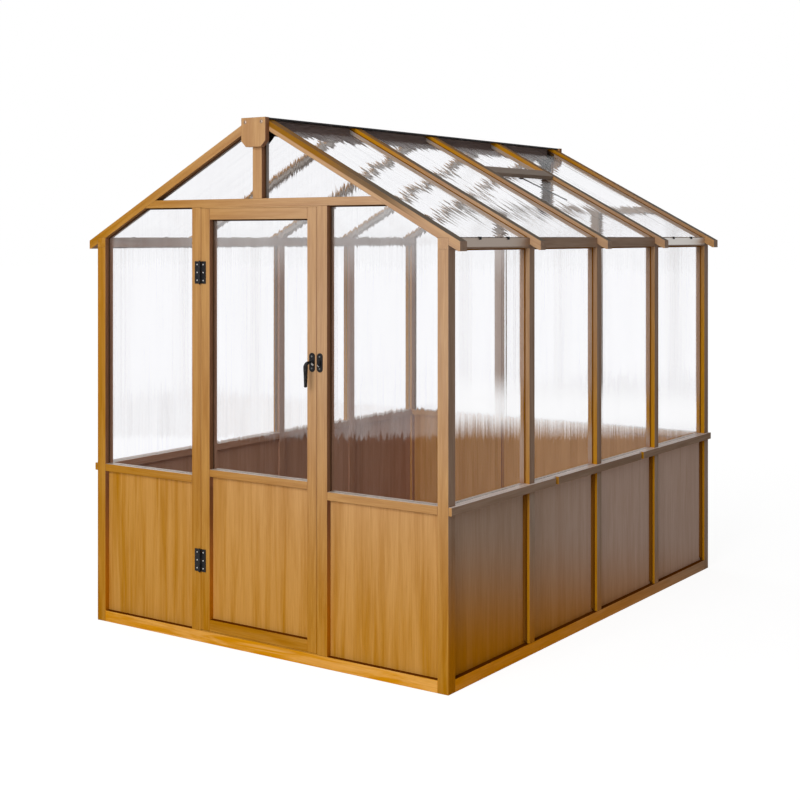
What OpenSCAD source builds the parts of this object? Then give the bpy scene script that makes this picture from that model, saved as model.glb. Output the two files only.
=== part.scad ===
// Apex-roofed timber greenhouse: solid lower panels, clear sheets above them and in the roof,
// and one outward-opening door in the front gable.
// Millimetres. Origin on the ground at the middle of the plan, +Y towards the back, +Z up.

/* [Overall] */
// Width over the outer faces of the side walls
width = 1830; // [1525:1:2200]
// Length over the outer faces of the gable walls
length = 2450; // [2040:1:2940]
// Height of the side walls, to the top of their top rails
eave_h = 1680; // [1650:1:1780]
// Slope of the roof in degrees
pitch = 28.05; // [23.4:0.05:33.7]
// Number of bays along each side wall
bays = 4; // [3:1:5]

/* [Wall frame] */
// Section of the posts, and depth of every wall member
post_w = 48; // [40:1:58]
// Width of the side studs and of the rafters that stand on them
stud_w = 42; // [35:1:51]
// Width of each door jamb
jamb_w = 48.5; // [40:0.5:58]
// Height of the bottom rails
bottom_rail_h = 48; // [40:1:58]
// Height of the middle rails' undersides above the ground
mid_rail_z = 658; // [548:1:790]
// Height of the middle rails' section
mid_rail_h = 32; // [26:1:39]
// Height of the side walls' top rails
top_rail_h = 42; // [35:1:51]
// Height of the headers across the gables
header_h = 33; // [27:1:40]
// How far the sill battens stand out of the side walls
sill_out = 15; // [12:1:18]
// Gap between one length of sill batten and the next
sill_gap = 24; // [20:1:29]
// Lengths of batten in each sill
sill_lengths = 3; // [2:1:4]

/* [Roof] */
// Depth of the rafters, square to the slope
rafter_d = 36; // [30:1:43]
// Height of the rafters' top edges over the top rails, at the wall's outer face
rafter_rise = 13.5; // [11:0.5:16]
// How far the rafter tails run past the side walls
tail_out = 51; // [42:1:61]
// Height of the plumb face at the end of a tail
tail_face = 36; // [30:1:40]
// How much of the apex is planed off level to seat the ridge cap
ridge_flat = 24; // [20:1:29]
// Thickness of the ridge board
ridge_board_t = 32; // [27:1:38]
// Depth of the ridge board
ridge_board_d = 62; // [52:1:74]
// Width of the ridge cap
ridge_cap_w = 106; // [88:1:127]
// Thickness of the ridge cap
ridge_cap_t = 6; // [5:1:7]
// Width of the gusset plate over each peak
gusset_w = 127; // [106:1:152]
// Height of the gusset plates, down from the top of the ridge cap
gusset_h = 118; // [98:1:142]
// Thickness of the gusset plates
gusset_t = 25; // [21:1:30]
// Chamfer on the gusset plates' lower corners
gusset_chamfer = 24; // [20:1:29]
// Width of the bracket plate inside each peak
bracket_w = 110; // [92:1:130]
// Width of the bracket plate's lower edge
bracket_foot_w = 38; // [32:1:46]
// Thickness of the bracket plates
bracket_t = 6; // [5:1:7]
// Drop of the bracket plates below the ridge board
bracket_drop = 36; // [30:1:43]

/* [Panels and sheets] */
// Recess of the panels and sheets from the wall's outer face
recess = 22; // [18:1:26]
// Thickness of the wood panels
panel_t = 9; // [8:1:11]
// Thickness of the clear sheets
sheet_t = 6; // [5:1:7]
// Depth of the roof sheets' upper faces below the rafter tops, square to the slope
roof_sheet_drop = 17; // [14:1:20]

/* [Roof vent] */
// Bay of the right slope that holds the vent, counted from the front
vent_bay = 3; // [1:1:3]
// Distance down the slope from the apex to the vent's bottom rail
vent_len = 360; // [300:1:432]
// Width of the vent's bottom rail, along the slope
vent_rail_w = 66; // [55:1:79]
// Thickness of the vent's bottom rail
vent_rail_t = 22; // [19:1:26]
// Length of the stay rod
stay_len = 250; // [208:1:300]
// Diameter of the stay rod
stay_d = 7; // [6:0.5:8]
// Height of the stay's seat under the vent's rail
stay_seat_h = 14; // [12:1:17]

/* [Door] */
// Width of the doorway between the jambs
door_open_w = 613; // [511:1:736]
// Height of the doorway over the bottom rail
door_open_h = 1757; // [1640:1:1790]
// Gap all round the door
door_gap = 5; // [5:0.5:6]
// Width of the door's stiles
stile_w = 45; // [38:1:54]
// Height of the door's bottom rail
door_bottom_h = 47; // [39:1:56]
// Height of the underside of the door's middle rail above the ground
door_mid_z = 691; // [576:1:829]
// Height of the door's middle rail
door_mid_h = 30; // [25:1:36]
// Height of the door's top rail
door_top_h = 46; // [38:1:55]
// Amount planed off the back of the latch edge, so that it clears the jamb
latch_bevel = 3; // [3:0.5:4]
// Thickness of the stop batten behind the head of the doorway
stop_t = 12; // [10:1:14]
// Height of the stop batten against the header
stop_h = 18; // [15:1:22]
// How far the stop batten hangs below the header
stop_drop = 14; // [12:1:17]

/* [Hinges] */
// Height of each hinge
hinge_h = 93; // [78:1:112]
// Width of each leaf, from the pin
hinge_leaf_w = 30; // [25:1:36]
// Thickness of the leaves
hinge_t = 3; // [2.5:0.5:3.5]
// Diameter of the knuckles
knuckle_d = 12; // [10:1:14]
// Diameter of the hinge pin
hinge_pin_d = 5; // [4:0.5:6]
// Height of the lower hinge's middle
hinge_low_z = 340; // [283:1:408]
// Height of the upper hinge's middle
hinge_high_z = 1535; // [1280:1:1700]

/* [Latch] */
// Height of the handle's spindle
handle_z = 1191; // [993:1:1429]
// Distance of the handle plate's middle from the door's edge
handle_inset = 19.5; // [17:0.5:22]
// Width of the handle plate and of the keeper
latch_plate_w = 27; // [23:1:30]
// Height of the handle plate and of the keeper
latch_plate_h = 75; // [63:1:90]
// Thickness of the handle plate and of the keeper
latch_plate_t = 4; // [3:0.5:5]
// Distance of the lever's middle from the door's face
lever_out = 44; // [37:1:53]
// Length of the lever below its spindle
lever_len = 95; // [80:1:112]
// Thickness of the lever
lever_d = 15; // [13:1:17]
// Diameter of the lever's neck
neck_d = 11; // [9:1:12]
// Length of the latch tongue from the spindle
tongue_len = 19; // [16:1:20]
// Slope of the latch tongue in degrees
tongue_slope = 30; // [20:1:40]

/* [Hidden] */
$fn = 48;
running_gap = 0.3;
pin_clearance = 0.05;
slope = tan(pitch);
half_w = width / 2;
half_l = length / 2;
wall_x = half_w - post_w;
wall_y = half_l - post_w;
bay = (2 * wall_y - (bays - 1) * stud_w) / bays;
mid_rail_top = mid_rail_z + mid_rail_h;
header_z = bottom_rail_h + door_open_h;
apex_z = eave_h + rafter_rise + half_w * slope;
rafter_drop = rafter_d / cos(pitch);
sheet_drop = (roof_sheet_drop + sheet_t) / cos(pitch);
ridge_seat_z = apex_z - ridge_flat;
tail_x = half_w + tail_out;
jamb_x = door_open_w / 2;
pane_x = jamb_x + jamb_w;
back_bay = (2 * wall_x - 2 * post_w) / 3;
leaf_x = jamb_x - door_gap;
leaf_z = bottom_rail_h + door_gap;
leaf_top = header_z - door_gap;
rail_x = leaf_x - stile_w;
face_y = -half_l;
pin_x = -jamb_x;
knuckle_gap = 0.5;
pin_y = face_y - knuckle_gap - knuckle_d / 2;
knuckle_root = 1;
knuckles = 5;
knuckle_h = hinge_h / knuckles;
pin_head_h = 3;
handle_x = leaf_x - handle_inset;
keeper_inset = 0.5;
keeper_x = jamb_x + keeper_inset + latch_plate_w / 2;
keeper_lip_t = 5;
tongue_w = 9;
grip_bevel = 2.5;
tongue_t = 7;
tongue_gap = 1;
far = 4 * (width + length);

function bay_y(i) = -wall_y + i * (bay + stud_w);
function stud_y(i) = bay_y(i) - stud_w;
function back_stud_x(i) = -wall_x + back_bay + i * (back_bay + post_w);
function top_z(x) = apex_z - slope * abs(x);
function under_z(x) = top_z(x) - rafter_drop;

// --- helpers ---------------------------------------------------------------------------------

// A block between two opposite corners.
module block(low, high) {
    translate(low) cube(high - low);
}

// An outline drawn in X and Z, extruded between two values of Y.
module along_y(y0, y1) {
    translate([0, y1, 0]) rotate([90, 0, 0]) linear_extrude(y1 - y0) children();
}

// The same piece on both sides, or at both ends.
module both_sides() {
    children();
    mirror([1, 0, 0]) children();
}
module both_ends() {
    children();
    mirror([0, 1, 0]) children();
}

// One block in each bay of the right-hand wall.
module in_bays(x0, x1, z0, z1) {
    for (i = [0 : bays - 1])
        block([x0, bay_y(i), z0], [x1, bay_y(i) + bay, z1]);
}

// The space inside a gable: between the corner posts, up to the rafters.
module gable_space() {
    polygon([[-wall_x, 0], [wall_x, 0], [wall_x, under_z(wall_x)],
        [0, under_z(0)], [-wall_x, under_z(wall_x)]]);
}

// The part of the gable's space between two heights and two values of X.
module gable_part(x0, x1, z0, z1) {
    intersection() {
        gable_space();
        translate([x0, z0]) square([x1 - x0, z1 - z0]);
    }
}

// Places children on the right slope: X runs down the slope from the apex, Y square to it.
module on_slope() {
    translate([0, apex_z]) rotate(-pitch) children();
}

// --- walls -----------------------------------------------------------------------------------

module corner_posts_front() {
    both_sides() block([wall_x, -half_l, 0], [half_w, -wall_y, eave_h - top_rail_h]);
}

module front_posts() {
    color("peru") corner_posts_front();
}

module back_posts() {
    color("peru") mirror([0, 1, 0]) corner_posts_front();
}

module door_jambs() {
    color("peru") both_sides() block([jamb_x, -half_l, bottom_rail_h], [pane_x, -wall_y, header_z]);
}

module back_studs() {
    color("peru") for (i = [0, 1])
        block([back_stud_x(i), wall_y, bottom_rail_h], [back_stud_x(i) + post_w, half_l, header_z]);
}

module right_studs() {
    color("peru") for (i = [1 : bays - 1])
        block([wall_x, stud_y(i), bottom_rail_h], [half_w, bay_y(i), eave_h - top_rail_h]);
}

module left_studs() {
    mirror([1, 0, 0]) right_studs();
}

module end_bottom_rails() {
    color("peru") both_ends() block([-wall_x, -half_l, 0], [wall_x, -wall_y, bottom_rail_h]);
}

module side_bottom_rails() {
    color("peru") both_sides() block([wall_x, -wall_y, 0], [half_w, wall_y, bottom_rail_h]);
}

module front_mid_rails() {
    color("peru") both_sides()
        block([pane_x, -half_l, mid_rail_z], [wall_x, -wall_y, mid_rail_top]);
}

module back_mid_rails() {
    color("peru") for (i = [0 : 2])
        translate([-wall_x + i * (back_bay + post_w), wall_y, mid_rail_z])
            cube([back_bay, post_w, mid_rail_h]);
}

module side_mid_rails() {
    color("peru") both_sides() in_bays(wall_x, half_w, mid_rail_z, mid_rail_top);
}

module right_sill() {
    piece = (length - (sill_lengths - 1) * sill_gap) / sill_lengths;
    color("peru") for (i = [0 : sill_lengths - 1])
        translate([half_w, -half_l + i * (piece + sill_gap), mid_rail_z])
            cube([sill_out, piece, mid_rail_h]);
}

module left_sill() {
    mirror([1, 0, 0]) right_sill();
}

module right_top_rail() {
    color("peru") block([wall_x, -half_l, eave_h - top_rail_h], [half_w, half_l, eave_h]);
}

module left_top_rail() {
    mirror([1, 0, 0]) right_top_rail();
}

module headers() {
    color("peru") both_ends() along_y(-half_l, -wall_y)
        gable_part(-wall_x, wall_x, header_z, header_z + header_h);
}

// A batten behind the front header, rebated so that it hangs clear of the shut door.
module door_stop() {
    color("peru") translate([-pane_x, 0, header_z]) rotate([90, 0, 90]) linear_extrude(2 * pane_x)
        polygon([[-wall_y, 0], [-wall_y, stop_h], [-wall_y + stop_t, stop_h],
            [-wall_y + stop_t, -stop_drop], [-wall_y + door_gap, -stop_drop],
            [-wall_y + door_gap, 0]]);
}

module king_posts() {
    color("peru") both_ends()
        block([-post_w / 2, -half_l, header_z + header_h], [post_w / 2, -wall_y, ridge_seat_z]);
}

// --- roof ------------------------------------------------------------------------------------

// A right-hand rafter's outline: planed level at the ridge, notched over the top rail,
// and cut plumb and then level at the tail.
module rafter_outline(x_in) {
    difference() {
        intersection() {
            on_slope() translate([-far / 2, -rafter_d]) square([far, rafter_d]);
            translate([x_in, top_z(tail_x) - tail_face])
                square([tail_x - x_in, ridge_seat_z - top_z(tail_x) + tail_face]);
        }
        translate([wall_x, 0]) square([post_w, eave_h]);
    }
}

module right_rafters() {
    color("peru") {
        both_ends() along_y(-half_l, -wall_y) rafter_outline(post_w / 2);
        for (i = [1 : bays - 1])
            along_y(stud_y(i), bay_y(i)) rafter_outline(ridge_board_t / 2);
    }
}

module left_rafters() {
    mirror([1, 0, 0]) right_rafters();
}

module ridge_board() {
    color("dimgray") block([-ridge_board_t / 2, -wall_y + bracket_t, ridge_seat_z - ridge_board_d],
        [ridge_board_t / 2, wall_y - bracket_t, ridge_seat_z]);
}

module ridge_cap() {
    color([0.12, 0.1, 0.1]) block([-ridge_cap_w / 2, -half_l, ridge_seat_z],
        [ridge_cap_w / 2, half_l, ridge_seat_z + ridge_cap_t]);
}

module gussets() {
    top = ridge_seat_z + ridge_cap_t;
    low = top - gusset_h;
    side = gusset_w / 2;
    color("tan") both_ends() along_y(-half_l - gusset_t, -half_l)
        polygon([[-side, top], [-side, low + gusset_chamfer], [-side + gusset_chamfer, low],
            [side - gusset_chamfer, low], [side, low + gusset_chamfer], [side, top]]);
}

module ridge_brackets() {
    side = bracket_w / 2;
    foot = bracket_foot_w / 2;
    low = ridge_seat_z - ridge_board_d - bracket_drop;
    color("black") both_ends() along_y(-wall_y, -wall_y + bracket_t)
        polygon([[-foot, low], [foot, low], [side, low + side - foot],
            [side, top_z(side) - sheet_drop], [0, top_z(0) - sheet_drop],
            [-side, top_z(side) - sheet_drop], [-side, low + side - foot]]);
}

// A roof sheet's outline between two distances down the slope: it meets the ridge board,
// and its foot is cut level to sit on the top rail.
module sheet_outline(from, to) {
    intersection() {
        on_slope() translate([from, -roof_sheet_drop - sheet_t]) square([to - from, sheet_t]);
        translate([ridge_board_t / 2, eave_h]) square([half_w, apex_z]);
    }
}

module right_roof_sheets() {
    color("aliceblue", 0.4) for (i = [0 : bays - 1])
        along_y(bay_y(i), bay_y(i) + bay)
            sheet_outline(i == vent_bay - 1 ? vent_len + vent_rail_w : 0, far);
}

module left_roof_sheets() {
    color("aliceblue", 0.4) mirror([1, 0, 0]) for (i = [0 : bays - 1])
        along_y(bay_y(i), bay_y(i) + bay) sheet_outline(0, far);
}

module vent_rail() {
    color("peru") along_y(bay_y(vent_bay - 1), bay_y(vent_bay - 1) + bay)
        on_slope() translate([vent_len, -vent_rail_t]) square([vent_rail_w, vent_rail_t]);
}

module vent_sheet() {
    color("aliceblue", 0.4) along_y(bay_y(vent_bay - 1), bay_y(vent_bay - 1) + bay)
        sheet_outline(0, vent_len);
}

// The stay: a seat under the vent's rail, and a rod that lies along the slope below the sheet.
module vent_stay() {
    seat = 20;
    swing = 20;
    translate([0, bay_y(vent_bay - 1) + bay / 2, apex_z]) rotate([0, pitch, 0])
        translate([vent_len + vent_rail_w - seat, 0, -vent_rail_t - stay_seat_h])
            color("black") union() {
                translate([-seat / 2, -seat / 2, 0]) cube([seat, seat, stay_seat_h]);
                translate([0, 0, stay_d]) rotate([0, 0, swing]) rotate([0, 90, 0])
                    cylinder(h = stay_len, d = stay_d);
            }
}

// --- panels and sheets of the walls ----------------------------------------------------------

module front_panels() {
    color("goldenrod") both_sides() block([pane_x, -half_l + recess, bottom_rail_h],
        [wall_x, -half_l + recess + panel_t, mid_rail_z]);
}

module back_panels() {
    color("goldenrod") for (i = [0 : 2])
        translate([-wall_x + i * (back_bay + post_w), half_l - recess - panel_t, bottom_rail_h])
            cube([back_bay, panel_t, mid_rail_z - bottom_rail_h]);
}

module right_panels() {
    color("goldenrod")
        in_bays(half_w - recess - panel_t, half_w - recess, bottom_rail_h, mid_rail_z);
}

module left_panels() {
    mirror([1, 0, 0]) right_panels();
}

module front_glazing() {
    color("aliceblue", 0.4) both_sides()
        along_y(-half_l + recess, -half_l + recess + sheet_t)
            gable_part(pane_x, wall_x, mid_rail_top, header_z);
}

module back_glazing() {
    color("aliceblue", 0.4) for (i = [0 : 2])
        along_y(half_l - recess - sheet_t, half_l - recess)
            gable_part(-wall_x + i * (back_bay + post_w), -wall_x + i * (back_bay + post_w) + back_bay,
                mid_rail_top, header_z);
}

module right_glazing() {
    color("aliceblue", 0.4)
        in_bays(half_w - recess - sheet_t, half_w - recess, mid_rail_top, eave_h - top_rail_h);
}

module left_glazing() {
    mirror([1, 0, 0]) right_glazing();
}

module gable_glazing() {
    color("aliceblue", 0.4) both_ends() both_sides()
        along_y(-half_l + recess, -half_l + recess + sheet_t)
            gable_part(post_w / 2, wall_x, header_z + header_h, apex_z);
}

// --- door ------------------------------------------------------------------------------------

module door_stiles() {
    color("peru") {
        block([-leaf_x, face_y, leaf_z], [-rail_x, -wall_y, leaf_top]);
        translate([0, 0, leaf_z]) linear_extrude(leaf_top - leaf_z)
            polygon([[rail_x, face_y], [leaf_x, face_y], [leaf_x - latch_bevel, -wall_y],
                [rail_x, -wall_y]]);
    }
}

module door_rail(z0, z1) {
    block([-rail_x, face_y, z0], [rail_x, -wall_y, z1]);
}

module door_rails() {
    color("peru") {
        door_rail(leaf_z, leaf_z + door_bottom_h);
        door_rail(door_mid_z, door_mid_z + door_mid_h);
        door_rail(leaf_top - door_top_h, leaf_top);
    }
}

module door_panel() {
    color("goldenrod") block([-rail_x, face_y + recess, leaf_z + door_bottom_h],
        [rail_x, face_y + recess + panel_t, door_mid_z]);
}

module door_glazing() {
    color("aliceblue", 0.4) block([-rail_x, face_y + recess, door_mid_z + door_mid_h],
        [rail_x, face_y + recess + sheet_t, leaf_top - door_top_h]);
}

// One leaf lying on +X from the pin: its plate, and every second knuckle from the given one.
module hinge_leaf(first) {
    plate_in = knuckle_d / 2 + knuckle_gap;
    plate_y = face_y - pin_y - hinge_t;
    translate([plate_in, plate_y, -hinge_h / 2]) cube([hinge_leaf_w - plate_in, hinge_t, hinge_h]);
    for (i = [first : 2 : knuckles - 1])
        translate([0, 0, -hinge_h / 2 + i * knuckle_h + running_gap / 2]) {
            cylinder(h = knuckle_h - running_gap, d = knuckle_d);
            translate([0, plate_y, 0])
                cube([plate_in + knuckle_root, hinge_t, knuckle_h - running_gap]);
        }
}

module at_hinges() {
    for (z = [hinge_low_z, hinge_high_z]) translate([pin_x, pin_y, z]) children();
}

module frame_hinges() {
    color("black") at_hinges() union() {
        mirror([1, 0, 0]) hinge_leaf(0);
        translate([0, 0, -hinge_h / 2 - pin_head_h])
            cylinder(h = hinge_h + 2 * pin_head_h, d = hinge_pin_d);
    }
}

module door_hinges() {
    color("black") at_hinges() difference() {
        hinge_leaf(1);
        translate([0, 0, -hinge_h]) cylinder(h = 2 * hinge_h, d = hinge_pin_d + 2 * pin_clearance);
    }
}

// A plate with round ends, lying on the front face.
module latch_plate(x) {
    straight = latch_plate_h - latch_plate_w;
    translate([x, face_y, handle_z]) rotate([90, 0, 0]) linear_extrude(latch_plate_t) union() {
        square([latch_plate_w, straight], center = true);
        for (s = [-1, 1]) translate([0, s * straight / 2]) circle(d = latch_plate_w);
    }
}

module handle_plate() {
    color("black") latch_plate(handle_x);
}

module latch_keeper() {
    color("black") union() {
        latch_plate(keeper_x);
        translate([keeper_x, face_y - latch_plate_t - keeper_lip_t / 2, handle_z])
            cube([2 * keeper_lip_t, keeper_lip_t, 2 * latch_plate_w], center = true);
    }
}

// The lever: a neck square to the door, a grip that hangs down, and the latch tongue.
module lever() {
    neck_y = latch_plate_t + running_gap;
    grip_r = lever_d / 2;
    grip_top = neck_d / 2 + 2 * grip_bevel;
    color("black") translate([handle_x, face_y, handle_z]) union() {
        translate([0, -neck_y, 0]) rotate([90, 0, 0])
            cylinder(h = lever_out - neck_y - grip_r / 2, d = neck_d);
        translate([0, -lever_out, 0]) rotate_extrude() polygon([
            [0, grip_top], [grip_r - grip_bevel, grip_top], [grip_r, grip_top - grip_bevel],
            [grip_r, grip_bevel - lever_len], [grip_r - grip_bevel, -lever_len], [0, -lever_len]]);
        rotate([0, tongue_slope, 0])
            translate([0, -neck_y - tongue_t - tongue_gap, -tongue_w / 2])
                cube([tongue_len, tongue_t, tongue_w]);
    }
}

front_posts();
back_posts();
door_jambs();
back_studs();
left_studs();
right_studs();
end_bottom_rails();
side_bottom_rails();
front_mid_rails();
back_mid_rails();
side_mid_rails();
left_sill();
right_sill();
left_top_rail();
right_top_rail();
headers();
door_stop();
king_posts();
gussets();
ridge_brackets();
left_rafters();
right_rafters();
ridge_board();
ridge_cap();
front_panels();
back_panels();
left_panels();
right_panels();
front_glazing();
back_glazing();
left_glazing();
right_glazing();
gable_glazing();
left_roof_sheets();
right_roof_sheets();
vent_rail();
vent_sheet();
vent_stay();
frame_hinges();
latch_keeper();
door_stiles();
door_rails();
door_panel();
door_glazing();
door_hinges();
handle_plate();
lever();
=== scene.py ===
"""A stained softwood greenhouse with clear fluted sheets, dressed in the order it is put together."""

import math
import random
from types import SimpleNamespace

import bmesh
import bpy
from mathutils import Matrix, Vector


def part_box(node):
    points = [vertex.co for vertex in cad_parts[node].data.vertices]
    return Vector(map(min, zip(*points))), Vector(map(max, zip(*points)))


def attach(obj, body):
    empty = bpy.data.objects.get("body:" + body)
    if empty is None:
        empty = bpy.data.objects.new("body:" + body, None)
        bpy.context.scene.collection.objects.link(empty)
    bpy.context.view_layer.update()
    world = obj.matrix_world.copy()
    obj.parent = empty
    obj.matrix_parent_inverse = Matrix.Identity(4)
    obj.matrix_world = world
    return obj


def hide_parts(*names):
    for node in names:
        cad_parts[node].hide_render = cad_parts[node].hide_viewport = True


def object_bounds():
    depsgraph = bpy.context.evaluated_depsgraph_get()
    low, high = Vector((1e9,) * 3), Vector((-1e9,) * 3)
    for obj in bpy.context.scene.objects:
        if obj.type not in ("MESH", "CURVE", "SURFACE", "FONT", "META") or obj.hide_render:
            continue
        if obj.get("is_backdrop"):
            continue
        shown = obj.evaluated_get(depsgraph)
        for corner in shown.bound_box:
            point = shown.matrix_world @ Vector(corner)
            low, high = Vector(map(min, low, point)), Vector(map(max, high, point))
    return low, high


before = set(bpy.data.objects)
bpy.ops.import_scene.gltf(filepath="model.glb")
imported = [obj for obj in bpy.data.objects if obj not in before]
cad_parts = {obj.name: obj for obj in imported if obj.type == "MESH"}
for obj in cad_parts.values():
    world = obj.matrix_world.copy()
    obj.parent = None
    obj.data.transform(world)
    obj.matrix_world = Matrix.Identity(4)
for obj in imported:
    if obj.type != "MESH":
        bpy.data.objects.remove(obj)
cad_low, cad_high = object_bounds()


# ---------------------------------------------------------------------------------------------
# The viewpoint: someone standing off the front right-hand corner, looking level at the house.
# The lens is raised on its plane, as on a view camera, so that every upright stays upright.

EYE = Vector((3.7236, -5.6135, 1.6822))
TURN = math.radians(34.57)
LENS_MM = 63.91
LENS_RISE = -0.2037

viewpoint = bpy.data.objects.new("viewpoint", bpy.data.cameras.new("viewpoint"))
viewpoint.location = EYE
viewpoint.rotation_euler = (math.radians(90), 0, TURN)
viewpoint.data.lens = LENS_MM
viewpoint.data.shift_y = LENS_RISE
viewpoint.data.clip_end = 200
bpy.context.scene.collection.objects.link(viewpoint)
bpy.context.scene.camera = viewpoint
bpy.context.scene.view_settings.view_transform = "Standard"


# ---------------------------------------------------------------------------------------------
# The studio: a white painted floor that runs out to a white surround, and two big soft lamps.
# The surround lights the wood gently, and shows white where it is looked at or mirrored. The
# floor glows more far from the house, where the lamps fade, and so meets the surround unseen.

FLOOR_REACH = 60.0
FLOOR_PAINT = 0.80
FLOOR_SEEN_PAINT = 0.25
FLOOR_GLOW = (0.885, 0.965)
GLOW_REACH = (2.0, 12.0)
SURROUND_LIGHT = 0.295
KEY_POWER = 375
KEY_PLACE = Vector((1.3, -8.0, 3.8))
KEY_SIZE = 4.0
FILL_POWER = 90
FILL_PLACE = Vector((-6.5, 2.5, 5.5))
FILL_SIZE = 5.0
LOOKED_AT = ("Is Camera Ray", "Is Glossy Ray", "Is Transmission Ray")


def fill(tree, socket, value):
    """Sets a socket to a plain value, or joins it to another node's output."""
    if isinstance(value, bpy.types.NodeSocket):
        tree.links.new(value, socket)
    else:
        socket.default_value = value


def node_of(tree, kind, out=0, **sockets):
    """An output of a new shader node, whose sockets are filled by their names."""
    node = tree.nodes.new("ShaderNode" + kind)
    for label, value in sockets.items():
        fill(tree, node.inputs[label.replace("_", " ")], value)
    return node.outputs[out]


def fill_inputs(tree, node, values):
    """Fills a node's sockets in their order, and gives its first output."""
    for socket, value in zip(node.inputs, values):
        fill(tree, socket, value)
    return node.outputs[0]


def sum_of(tree, first, second, operation="ADD"):
    """One sum of two numbers or outputs."""
    node = tree.nodes.new("ShaderNodeMath")
    node.operation = operation
    return fill_inputs(tree, node, (first, second))


def vector_sum(tree, operation, values):
    """The node of one sum with vectors."""
    node = tree.nodes.new("ShaderNodeVectorMath")
    node.operation = operation
    fill_inputs(tree, node, values)
    return node


def rays_of(tree, names):
    """1 for a ray of any of the named kinds, else 0."""
    path = tree.nodes.new("ShaderNodeLightPath")
    found = path.outputs[names[0]]
    for name in names[1:]:
        found = sum_of(tree, found, path.outputs[name], "MAXIMUM")
    return found


def empty_material(name):
    """A new material with nothing in it but its output, and its node tree."""
    material = bpy.data.materials.new(name)
    material.use_nodes = True
    material.node_tree.nodes.clear()
    return material, material.node_tree


def surface(tree, shader):
    """Joins a shader to the material's output."""
    tree.links.new(shader, tree.nodes.new("ShaderNodeOutputMaterial").inputs["Surface"])


def piece_from(bm, name, material):
    """Makes the object that a finished mesh belongs to, with its place left in the mesh."""
    mesh = bpy.data.meshes.new(name)
    bm.to_mesh(mesh)
    bm.free()
    mesh.materials.append(material)
    piece = bpy.data.objects.new(name, mesh)
    bpy.context.scene.collection.objects.link(piece)
    return piece


floor_white, tree = empty_material("floor_paint")
seen = rays_of(tree, LOOKED_AT)
paint = sum_of(tree, sum_of(tree, seen, FLOOR_SEEN_PAINT - FLOOR_PAINT, "MULTIPLY"), FLOOR_PAINT)
paint = node_of(tree, "BsdfDiffuse", Color=paint)
away = vector_sum(tree, "LENGTH", (node_of(tree, "TexCoord", out=3),))
ramp = tree.nodes.new("ShaderNodeMapRange")
glow = fill_inputs(tree, ramp, (away.outputs["Value"], *GLOW_REACH, *FLOOR_GLOW))
glow = sum_of(tree, seen, glow, "MULTIPLY")
lit = tree.nodes.new("ShaderNodeAddShader")
surface(tree, fill_inputs(tree, lit, (paint, node_of(tree, "Emission", Strength=glow))))
bm = bmesh.new()
bmesh.ops.create_grid(bm, x_segments=1, y_segments=1, size=FLOOR_REACH)
bmesh.ops.translate(bm, vec=(0, 0, cad_low.z), verts=bm.verts)
piece_from(bm, "studio_floor", floor_white)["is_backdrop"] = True

surround = bpy.data.worlds.new("surround")
surround.use_nodes = True
tree = surround.node_tree
seen = sum_of(tree, rays_of(tree, LOOKED_AT), 1 - SURROUND_LIGHT, "MULTIPLY")
tree.links.new(sum_of(tree, seen, SURROUND_LIGHT), tree.nodes["Background"].inputs["Strength"])
tree.nodes["Background"].inputs["Color"].default_value = (1, 1, 1, 1)
bpy.context.scene.world = surround

for name, power, place, size in (
    ("key_lamp", KEY_POWER, KEY_PLACE, KEY_SIZE),
    ("fill_lamp", FILL_POWER, FILL_PLACE, FILL_SIZE),
):
    lamp = bpy.data.lights.new(name, "AREA")
    lamp.energy = power
    lamp.size = size
    holder = bpy.data.objects.new(name, lamp)
    holder.location = place
    holder.rotation_euler = (Vector((0, 0, 1)) - place).to_track_quat("-Z", "Y").to_euler()
    bpy.context.scene.collection.objects.link(holder)


# ---------------------------------------------------------------------------------------------
# The bottom rails: planed softwood lying on the ground, the outermost course of the house.
# Every timber is stained a honey colour and its sawn arrises are eased by hand. Over the stain is
# painted light: a pale painted reflection towards the roof, painted shade and light indoors, and
# painted shade with a grey painted reflection on the shaded right-hand side (+X).

ARRIS = 0.0016
WELD = 0.000004
FLAT = math.radians(1)
SHARP = math.radians(20)
BROAD_GRAIN = (30.0, 30.0, 2.0)
FINE_GRAIN = (260.0, 260.0, 8.0)
FIBRE = (0.74, 0.64, 0.50, 1)
FIBRE_BAND = (0.35, 0.65)
FIBRE_STRENGTH = 0.3
FIBRE_RISE = 0.0006
FIBROUS = 0.4
CLOUD_BAND = (0.3, 0.7)
DULLER_BETWEEN = 0.08
GLOSSIER_ON = 0.06
VARNISH_ROUGHNESS = 0.42
COAT_ROUGHNESS = 0.35

HONEY = ((0.430, 0.176, 0.003, 1), (0.530, 0.252, 0.036, 1))
# A pale painted reflection of the white surround, mixed in towards the roof and the front right-hand corner.
PAINTED_REFLECTION = (0.64, 0.62, 0.64, 1)
PAINTED_REFLECTION_SHARE = 0.27
PAINTED_REFLECTION_FALL = 0.32
PAINTED_REFLECTION_START = 1.22
PAINTED_REFLECTION_RISE = (0.0, 1.35)
PAINTED_REFLECTION_ACROSS = (-1.0, 0.6)

# The right-hand side (+X) lies in shade: these grey-browns are painted shade with a grey painted reflection,
# darker in the recesses and on the near boards.
PAINTED_SHADE_SIDE = ((0.290, 0.188, 0.128, 1), (0.370, 0.250, 0.180, 1))
PAINTED_SHADE_STUDS = ((0.360, 0.260, 0.195, 1), (0.430, 0.320, 0.250, 1))
RECESS_PAINTED_SHADE = ((0.230, 0.105, 0.050, 1), (0.300, 0.145, 0.078, 1))
BOARDS_NEAR = (0.80, 0.78, 0.73, 1)
BOARDS_FAR = (1.06, 1.07, 1.10, 1)
FOOT_PLAIN = 0.3
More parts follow.
